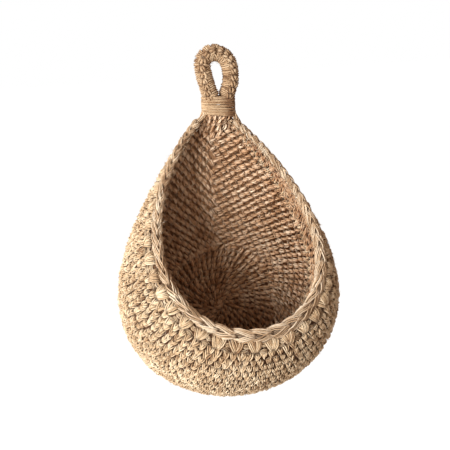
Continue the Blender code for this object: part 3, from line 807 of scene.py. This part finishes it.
def outline_rounds():
    """Rounds beside the outline, outside the circles, that meet at a spine under the neck."""
    rounds = []
    edge, inward = body_edge(1501)
    run = lengths(edge) / INNER_WIDTH
    offset = INNER_HEIGHT / 2 + EDGE_INSET
    number = 0
    while offset < BODY_WIDTH / 2:
        line = edge + inward * offset
        nearest = np.array([np.hypot(*(edge - point).T).min() for point in line])
        keep = (nearest > offset - EDGE_INSET) & (line[:, 1] < BODY_TOP - TOP_MARGIN)
        keep &= np.hypot(*line.T) > CENTRE_ROUNDS_REACH - ROUND_GAP
        for part in np.split(np.arange(len(line)), np.flatnonzero(np.diff(keep)) + 1):
            if keep[part[0]] and len(part) > 3:
                first, last = run[part[0]], run[part[-1]]
                places = np.arange(math.ceil(first), last) + DRIFT_SHARE * number % 1
                places = places[(places > first + PART_END_SHARE) & (places < last - PART_END_SHARE)]
                rounds.append((line[part], run[part], places))
        offset += INNER_HEIGHT
        number += 1
    return rounds


def panel_stitches(name, level, facing, material):
    """One face of the panel: its rounds, and a few stitches that fill the top under the neck."""
    yarns = Yarns()
    for line, run, places in centre_rounds() + outline_rounds():
        if not len(places):
            continue
        points = upright(line, level)
        rise = np.cross(np.gradient(points, axis=0), (0, 1, 0))
        frames = frames_at(places, run, points, rise, everywhere((0, facing, 0), points))
        width = lengths(points)[-1] / max(run[-1] - run[0], 1)
        width = np.clip(width, NARROWEST_SHARE * INNER_WIDTH, WIDEST_SHARE * INNER_WIDTH)
        lay_stitches(yarns, frames, LEAN_STITCH, width, INNER_HEIGHT)
    apex = np.array([(across, level, BODY_TOP - drop) for drop in APEX_DROPS for across in APEX_ACROSS])
    frames = apex, everywhere((1, 0, 0), apex), everywhere((0, 0, 1), apex), everywhere((0, facing, 0), apex)
    lay_stitches(yarns, frames, LEAN_STITCH, INNER_WIDTH, INNER_HEIGHT)
    settle(yarns.piece(name, material), "basket", "panel_jute")


def panel_lining(material):
    """The middle of the back panel: a layer that blocks light, coloured dark as painted shade."""
    edge, inward = body_edge(161)
    sections = [upright(edge + inward * PANEL_LINING_INSET, level) for level in PANEL_LINING_LEVELS]
    settle(lofted("panel_lining", sections, material), "basket", "panel_jute", "back_panel")


def edge_course(material):
    """The rounds of stitches that join the pocket to the panel, along the outline."""
    yarns = Yarns()
    edge, inward = body_edge(1201)
    points = upright(edge, -PANEL_THICKNESS / 2)
    inward = upright(inward, 0)
    points = points + inward * JOIN_INSET
    run = lengths(points)
    places = np.arange(STITCH_WIDTH / 4, run[-1], STITCH_WIDTH / 2)
    frames = frames_at(places, run, points, everywhere(TOWARDS_FRONT, points), -inward)
    lay_stitches(yarns, frames, LEAN_STITCH, STITCH_WIDTH / 2, PANEL_THICKNESS)
    from_rim = SHELL.left[:, 0] - np.minimum(JOIN_ABOVE, SHELL.left[:, 0] * JOIN_ABOVE_SHARE)
    rise = unit(SHELL.level(SHELL.rise, from_rim))
    faces = (SHELL.outer, 1, JOIN_STITCH_SHARE * STITCH_WIDTH), (SHELL.inner, -1, INNER_WIDTH)
    for grid, facing, width in faces:
        points = SHELL.level(grid, from_rim)
        out = unit(SHELL.level(SHELL.normal, from_rim)) * facing
        run = lengths(points)
        places = np.arange(width / 2, run[-1], width)
        lay_stitches(yarns, frames_at(places, run, points, rise, out), LEAN_STITCH, width, JOIN_HEIGHT)
    settle(yarns.piece("edge_course", material), "basket", "panel_jute")


def rim_cord():
    """The cord that the mouth's edge is worked over; its ridge turns from outwards to the front."""
    slim = 1 - (1 - CHAIN_NECK_SHARE) * SHELL.neck_share
    side, front = unit(SHELL.normal[:, -1]), unit(SHELL.rise[:, -1])
    turned = CHAIN_FACES_FRONT + (NECK_FACES_FRONT - CHAIN_FACES_FRONT) * SHELL.neck_share
    faces = side + turned[:, None] * np.array(TOWARDS_FRONT)
    ridge = np.unwrap(np.arctan2((faces * front).sum(1), (faces * side).sum(1)))
    return Cord(SHELL.rim, side, front, CHAIN_HALF_DEPTH * slim, CHAIN_HALF_RISE * slim, ridge)


def rim_chain(material, lining):
    """The chain along the mouth's edge, and the bundles that go round the edge below it."""
    yarns, core = Yarns(), Yarns()
    cord = rim_cord()
    places = np.arange(RIM_WRAP_START, cord.run[-1], LINK / 4)
    cord.wraps(yarns, places, RIM_WRAP_LEAN, RIM_WRAP_GAP, RIM_WRAP_SUNK, RIM_WRAP_PLY, 3)
    links = LINK + (NECK_LINK - LINK) * SHELL.neck_share
    places = [CHAIN_START_SHARE * NECK_LINK]
    while places[-1] < cord.run[-1] - CHAIN_STOP_SHARE * NECK_LINK:
        places.append(places[-1] + np.interp(places[-1], cord.run, links))
    sizes = np.interp(places, cord.run, links)
    cord.chain(yarns, places, sizes, RIM_CHAIN_REACH, RIM_CHAIN_LENGTH, CHAIN_PLY, 4)
    # A core inside the rim's cord, coloured dark as painted shade where it shows between the links
    part = RIM_CORE_STATIONS
    radius = cord.half_side[part] * (1 - RIM_CORE_DEEP / cord.size)
    core.lay(cord.line[None, part], radius[None], cord.side[None, part], ROUND_SIDES)
    settle(core.piece("rim_core", lining), "basket", "braid_jute")
    settle(yarns.piece("rim_chain", material), "basket", "braid_jute", "rim_braid")


def loop_line():
    """Evenly spaced points of the loop's centre-line, its sideways directions, and their run."""
    left = [(-LEG_OFFSET, LEG_CLEARANCE), (-LEG_OFFSET, BOUND_RISE / 2), (LEFT_PARTING, BOUND_RISE)]
    right = [(RIGHT_PARTING, BOUND_RISE), (LEG_OFFSET, BOUND_RISE / 2), (LEG_OFFSET, LEG_CLEARANCE)]
    shares = LOOP_LEFT_SHARES + (LOOP_CROWN_SHARES,) + LOOP_RIGHT_SHARES
    middle = [(across * LOOP_HALF_WIDTH, up * LOOP_RISE) for across, up in shares]
    route = np.array([(x, 0, z) for x, z in left + middle + right])
    dense = [route[0]]
    for p0, p1, p2, p3 in zip(route, route[1:], route[2:], route[3:]):
        for t in np.linspace(0, 1, SPAN_STEPS, endpoint=False):
            dense.append(p1 * (2 * t**3 - 3 * t**2 + 1) + (p2 - p0) / 2 * (t**3 - 2 * t**2 + t)
                         + p2 * (3 * t**2 - 2 * t**3) + (p3 - p1) / 2 * (t**3 - t**2))
    dense = np.array(dense + [route[-2], route[-1]])
    dense_run = lengths(dense)
    run = np.linspace(0, dense_run[-1], LOOP_STATIONS)
    line = read_line(run, dense_run, dense) + np.array(HINGE)
    ahead = unit(np.gradient(line, axis=0))
    return line, np.stack([ahead[:, 2], 0 * run, -ahead[:, 0]], -1), run


def loop_cover(material):
    """The crocheted sleeve: plump wraps round the cord, and a chain that winds from front to side."""
    yarns, core = Yarns(), Yarns()
    line, across, run = loop_line()
    front = everywhere(TOWARDS_FRONT, line)
    swell = smooth_share((line[:, 2] - HINGE.z - BOUND_RISE + SWELL_HEIGHT) / SWELL_HEIGHT)
    radius = BOUND_RADIUS + (CORD_RADIUS - BOUND_RADIUS) * swell
    cord = Cord(line, -across, front, radius, radius, np.linspace(*SLEEVE_RIDGE, len(run)))
    places = np.arange(SLEEVE_START, run[-1], SLEEVE_PITCH)
    cord.wraps(yarns, places, SLEEVE_LEAN, SLEEVE_GAP, SLEEVE_SUNK, SLEEVE_PLY, 4, SLEEVE_SPLAY)
    places = np.arange(BOUND_RISE - SLEEVE_START, run[-1] - BOUND_RISE, SLEEVE_PITCH)
    cord.chain(yarns, places, SLEEVE_PITCH, SLEEVE_CHAIN_REACH, SLEEVE_CHAIN_LENGTH, SLEEVE_CHAIN_PLY, 2,
               SLEEVE_CHAIN_LOW, SLEEVE_CHAIN_SPLAY)
    settle(yarns.piece("loop_sleeve", material), "loop", "cover_jute", "loop_cover")
    core.lay(line[None, ::6], (radius[::6] - CORD_DEEP)[None], front[None, ::6], ROUND_SIDES)
    settle(core.piece("loop_cord", material), "loop", "core_cord", "loop_core")


def squared(wave):
    """A wave with fuller shoulders, for a round that is nearly a rectangle."""
    return np.sign(wave) * np.abs(wave) ** SQUARENESS


def loop_whipping(material):
    """The fine twine wound round the loop's neck, one turn beside the next."""
    yarns = Yarns()
    low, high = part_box("loop_binding")
    centre = (low + high) / 2
    half_x, half_y = (high.x - low.x) / 2, (high.y - low.y) / 2
    tall = high.z + WHIPPING_RISE - low.z + 2 * WHIPPING_DROP
    turns = round(tall / (TURN_RISE_SHARE * WHIPPING_PLY))
    angle = np.linspace(0, 2 * math.pi * turns, turns * TURN_POINTS)
    x = centre.x + squared(np.cos(angle)) * (half_x - WHIPPING_PLY)
    y = centre.y + squared(np.sin(angle)) * (half_y - WHIPPING_PLY)
    aside = (x - centre.x) / half_x
    low_edge = low.z - WHIPPING_DROP * (1 + aside) * smooth_share(0.5 - 0.5 * np.sin(angle))
    room = high.z + WHIPPING_RISE - low_edge - 2 * WHIPPING_PLY
    z = low_edge + WHIPPING_PLY + room * (angle / angle[-1])
    z = z + SLOW_WAVER * np.sin(angle * 0.37) + QUICK_WAVER * np.sin(angle * 1.73)
    facing = np.stack([np.cos(angle), np.sin(angle), 0 * angle], -1)
    # The tint drifts from turn to turn, and darkens on the side away from the key light
    tint = 0.26 + 0.14 * np.sin(angle * 0.41) + 0.10 * np.sin(angle * 1.3)
    tint = tint - 0.34 * smooth_share((aside - 0.05) / 0.6)
    thick = WHIPPING_PLY * (1 + 0.12 * np.sin(angle * 0.83))
    yarns.lay(np.stack([x, y, z], -1)[None], thick[None], facing[None], WHIPPING_SIDES, tint[None])
    settle(yarns.piece("loop_whipping", material), "loop", "binding_twine", "loop_binding")


def neck_gather(material):
    """The gathered top of the body: rows of stitches that narrow and climb under the binding."""
    yarns = Yarns()
    low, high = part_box("loop_binding")
    half_x, half_y = (high.x - low.x) / 2 - NECK_INSET, (high.y - low.y) / 2 - NECK_INSET
    angle = np.linspace(0, 2 * math.pi, 121)
    cosine, sine = np.cos(angle), np.sin(angle)
    start = np.stack([NECK_FOOT_HALF_WIDTH * cosine, -NECK_FOOT_SETBACK + NECK_FOOT_HALF_DEPTH * sine,
                      0 * angle + BODY_TOP - NECK_FOOT_DROP], -1)
    stop = np.stack([HINGE.x + half_x * cosine, HINGE.y + half_y * sine, 0 * angle + low.z + NECK_TUCK], -1)
    out = np.stack([cosine, sine * NECK_FLATNESS, 0 * angle], -1)
    for row in range(NECK_ROWS):
        rise = (row + NECK_START_SHARE) / NECK_ROWS
        share = float(smooth_share(rise))
        points = start + (stop - start) * np.array([share, share, rise])
        run = lengths(points)
        width = NECK_STITCH_WIDTH * (1 - NARROWING_SHARE * rise)
        places = np.arange(0.5 * width * (row % 2), run[-1] - END_SHARE * width, width)
        frames = frames_at(places, run, points, everywhere((0, 0, 1), points), out)
        lay_stitches(yarns, frames, LEAN_STITCH, width, NECK_STITCH_HEIGHT)
    piece = yarns.piece("neck_gather", material)
    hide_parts("loop_foot")
    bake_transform(piece)


def rim_ends(material):
    """The two ends of the rim, which run up under the corners of the binding."""
    yarns = Yarns()
    low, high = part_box("loop_binding")
    rise = np.linspace(0, 1, 9)
    reach = (high.x - low.x) / 2 - RIM_END_INSET
    for hand in (-1, 1):
        side = SHELL.rim[SHELL.rim[:, 0] * hand > 0]
        start = side[np.abs(side[:, 2] - BODY_TOP + RIM_END_DROP).argmin()] + (0, RIM_END_BACK, 0)
        stop = np.array([HINGE.x + hand * reach, HINGE.y - RIM_END_FORWARD, low.z + RIM_END_TUCK])
        path = start + (stop - start) * smooth_share(rise)[:, None]
        path[:, 2] = start[2] + (stop[2] - start[2]) * rise
        for bundle in range(RIM_END_BUNDLES):
            turn = 2 * math.pi * bundle / RIM_END_BUNDLES + RIM_END_TWIST * hand * rise
            out = np.stack([np.cos(turn), np.sin(turn), 0 * turn], -1)
            lay_plies(yarns, (path + out * RIM_END_RADIUS)[None], RIM_END_PLY_SHARE * FINE, out[None], 3)
    piece = yarns.piece("rim_ends", material)
    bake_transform(piece)


def lay_fibres(yarns, places, outs, length):
    """Fibres that have worked loose, each a thin curl that starts in the yarn and leaves it."""
    count = len(places)
    steps = np.linspace(0, 1, FIBRE_RINGS)[None, :, None]
    along = unit(np.cross(outs, random.normal(0, 1, (count, 3))))
    bend = unit(np.cross(along, outs))
    reach = length * random.uniform(*FIBRE_REACHES, (count, 1, 1))
    lift = random.uniform(*FIBRE_LIFTS, (count, 1, 1))
    twist = random.normal(0, FIBRE_TWIST, (count, 1, 1))
    path = places[:, None] - outs[:, None] * FIBRE_ROOT + along[:, None] * reach * steps
    path = path + outs[:, None] * reach * lift * steps + bend[:, None] * reach * twist * steps**2
    yarns.lay(path, FIBRE_RADIUS * np.linspace(1, 0.5, FIBRE_RINGS), outs[:, None], FIBRE_SIDES)


def loose_fibres(material):
    """The fuzz on the pocket, the rim and the loop."""
    body, loop = Yarns(), Yarns()
    stations = len(SHELL.along)
    station = random.integers(60, stations - 60, POCKET_FIBRES)
    row = random.integers(4, SHELL.outer.shape[1] - 1, POCKET_FIBRES)
    lay_fibres(body, SHELL.outer[station, row], SHELL.normal[station, row], POCKET_FIBRE)
    station = random.integers(20, stations - 20, RIM_FIBRES)
    inward = SHELL.rise[station, -1] - SHELL.normal[station, -1] * random.uniform(0, 2, (RIM_FIBRES, 1))
    inward = unit(inward)
    places = SHELL.rim[station] + inward * CHAIN_HALF_DEPTH * RIM_FIBRE_DEPTH_SHARE
    lay_fibres(body, places, inward, RIM_FIBRE)
    line, across, _ = loop_line()
    spot = random.integers(LOOP_STATIONS // 4, LOOP_STATIONS * 3 // 4, LOOP_FIBRES)
    turn = random.uniform(0, 2 * math.pi, (LOOP_FIBRES, 1))
    out = across[spot] * np.cos(turn) + np.array(TOWARDS_FRONT) * np.sin(turn)
    lay_fibres(loop, line[spot] + out * CORD_RADIUS, out, LOOP_FIBRE)
    settle(body.piece("body_fibres", material), "basket", "pocket_jute")
    settle(loop.piece("loop_fibres", material), "loop", "cover_jute")


def stage():
    """A pale floor far below, so that no shadow of the hanging basket comes into view."""
    bpy.ops.object.select_all(action="DESELECT")
    bpy.ops.mesh.primitive_plane_add(size=FLOOR_SIZE, location=(0, 0, BODY_BOTTOM - FLOOR_DROP))
    floor = bpy.context.object
    floor.name = "studio_floor"
    material, tree, shader = new_material("white paper sweep")
    shader.inputs["Base Color"].default_value = srgb("F4F4F2")
    shader.inputs["Roughness"].default_value = 0.9
    ray = add_node(tree, "ShaderNodeLightPath")
    glow = add_node(tree, "ShaderNodeEmission", [("Color", (1, 1, 1, 1)), ("Strength", FLOOR_GLOW)])
    share = add_node(tree, "ShaderNodeMath", [(0, ray.outputs["Is Camera Ray"]), (1, FLOOR_GLOW_SHARE)],
                     operation="MULTIPLY")
    mix = add_node(tree, "ShaderNodeMixShader",
                   [(0, share.outputs[0]), (1, shader.outputs[0]), (2, glow.outputs[0])])
    tree.links.new(mix.outputs[0], tree.nodes["Material Output"].inputs["Surface"])
    floor.data.materials.append(material)


def light():
    """A large soft key from the left and in front, and a white surround that shows as the background."""
    world = bpy.data.worlds.new("white surround")
    bpy.context.scene.world = world
    world.use_nodes = True
    tree = world.node_tree
    tree.nodes.clear()
    ray = add_node(tree, "ShaderNodeLightPath")
    seen = add_node(tree, "ShaderNodeMath",
                    [(0, ray.outputs["Is Camera Ray"]), (1, ray.outputs["Is Glossy Ray"])],
                    operation="MAXIMUM")
    dim = add_node(tree, "ShaderNodeBackground", [("Color", srgb("FFDAC2")), ("Strength", SURROUND_STRENGTH)])
    white = add_node(tree, "ShaderNodeBackground", [("Color", (1, 1, 1, 1)), ("Strength", 1.0)])
    mix = add_node(tree, "ShaderNodeMixShader",
                   [(0, seen.outputs[0]), (1, dim.outputs[0]), (2, white.outputs[0])])
    output = add_node(tree, "ShaderNodeOutputWorld")
    tree.links.new(mix.outputs[0], output.inputs["Surface"])
    add_lamp("key", KEY_PLACE, KEY_SIZE, KEY_POWER)
    add_lamp("wall_bounce", BOUNCE_PLACE, BOUNCE_SIZE, BOUNCE_POWER)


def add_lamp(name, place, size, power):
    """A square lamp that looks at the basket."""
    lamp = bpy.data.lights.new(name, "AREA")
    lamp.size = size
    lamp.energy = power
    piece = placed(name, lamp)
    piece.location = place
    piece.rotation_euler = (LAMP_AIM - Vector(place)).to_track_quat("-Z", "Y").to_euler()


def camera():
    """The photograph's view: focal length, roll and shift from the fitted outline."""
    lens = bpy.data.cameras.new("photo_view")
    lens.sensor_width = SENSOR_WIDTH
    lens.lens = PIXELS_PER_METRE * VIEW_DISTANCE / PHOTO_SIZE * SENSOR_WIDTH
    lens.shift_x = (PHOTO_SIZE / 2 - AIM_PIXEL[0]) / PHOTO_SIZE
    lens.shift_y = (AIM_PIXEL[1] - PHOTO_SIZE / 2) / PHOTO_SIZE
    piece = placed("photo_view", lens)
    azimuth, elevation = math.radians(VIEW_AZIMUTH), math.radians(VIEW_ELEVATION)
    level = math.cos(elevation)
    back = Vector((math.sin(azimuth) * level, -math.cos(azimuth) * level, math.sin(elevation)))
    turn = back.to_track_quat("Z", "Y").to_matrix().to_4x4()
    roll = Matrix.Rotation(math.radians(-VIEW_ROLL), 4, "Z")
    piece.matrix_world = Matrix.Translation(VIEW_AIM + back * VIEW_DISTANCE) @ turn @ roll
    bpy.context.scene.camera = piece


def dress():
    """Makes every finish, darkest tone first, and every piece in it."""
    # Hand-spun jute twine, crocheted: dry gold, with painted shade in the pits
    straw = spun_jute("spun jute, outer side", "4C301D", "906A48", "D8BB94", "F5E3C4")
    # The same twine inside the pocket, made warmer and browner as painted shade
    shaded_inner = spun_jute("spun jute, inner side, painted shade", "5C3822", "8A5C3A", "C4966C", "EECEAA")
    # The inside's twine on the panel and the neck, made lighter than in the pocket as painted light: even in
    # tone, with lighter painted shade in its shallow gaps
    lit_inner = spun_jute("spun jute, panel side, painted light", "785840", "A47850", "DEB68E", "FBE5C8")
    # Twine combed open where the rim is plaited: pale fibres beside dark ones, so each ply shows
    pale = spun_jute("combed jute of the rim", "4C301C", "70492C", "D0B08A", "FFF0D6")
    # Twine rubbed by hands at the loop: greyer, with less contrast
    worn = spun_jute("handled jute of the loop", "5E3D26", "7C593A", "BC9C77", "E6CDAA")
    # Layers inside the fabric that block light: a dull brown floor to the gaps, coloured as painted shade,
    # darker in the pocket's wall
    core_shade = shaded_core_jute("jute core, painted shade", "4A301C", "7A5638")
    gap_shade = shaded_core_jute("jute core, painted shade, pocket wall", "4A301C", "5A3C24")
    panel_core_shade = shaded_core_jute("jute core, painted shade, panel side", "7C5C42", "AC845E")
    pocket_courses(straw)
    pocket_inside(shaded_inner)
    pocket_lining(gap_shade)
    panel_stitches("panel_face", FACE_LEVEL, -1, lit_inner)
    panel_stitches("panel_back", BACK_LEVEL, 1, straw)
    panel_lining(panel_core_shade)
    edge_course(straw)
    rim_chain(pale, core_shade)
    loop_cover(worn)
    loop_whipping(straw)
    neck_gather(lit_inner)
    rim_ends(pale)
    loose_fibres(pale)


camera()
light()
stage()
dress()
bpy.context.scene.view_settings.view_transform = "Standard"
